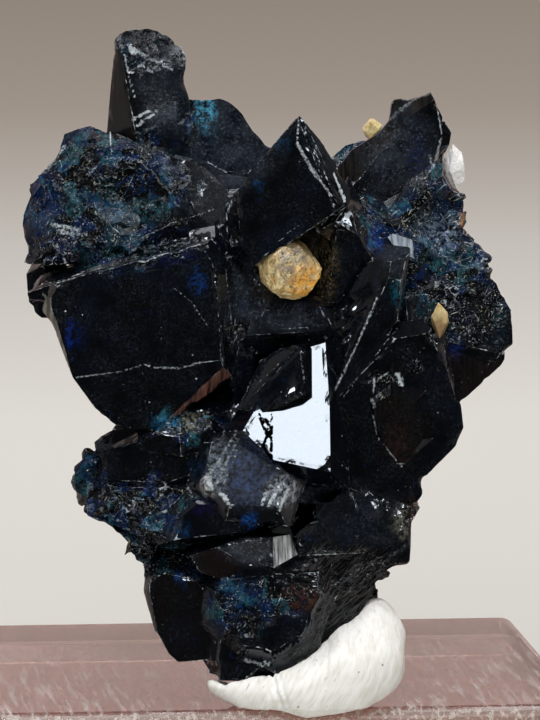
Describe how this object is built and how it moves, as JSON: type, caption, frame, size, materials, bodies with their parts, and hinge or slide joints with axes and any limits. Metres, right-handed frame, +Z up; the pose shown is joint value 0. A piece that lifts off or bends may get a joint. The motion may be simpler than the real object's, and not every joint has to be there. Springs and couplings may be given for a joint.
{
  "type": "lazulite crystal specimen",
  "caption": "Cluster of dark blue lazulite crystals with a brown siderite crystal in a hollow at its middle, held upright by white putty on a square clear acrylic display base.",
  "frame": {"origin": "middle of the base's underside", "axes": "+Z up; -Y is the front, towards the viewer; +X to the viewer's right, along the base's front edge"},
  "size_m": [0.038, 0.0397, 0.0515],
  "materials": {
    "lazulite": "glossy flat crystal faces, nearly black blue, teal where broken",
    "siderite": "golden brown, slightly pearly",
    "quartz": "milky white, broken",
    "putty": "off-white, matte, with finger ridges",
    "acrylic": "clear, slightly rose, polished with fine scratches"
  },
  "bodies": {
    "root": {"lazulite_cluster": "lazulite", "siderite_crystal": "siderite", "siderite_grain_top": "siderite", "siderite_grain_right": "siderite", "quartz_grain": "quartz", "putty": "putty", "acrylic_base": "acrylic"}
  },
  "joints": []
}
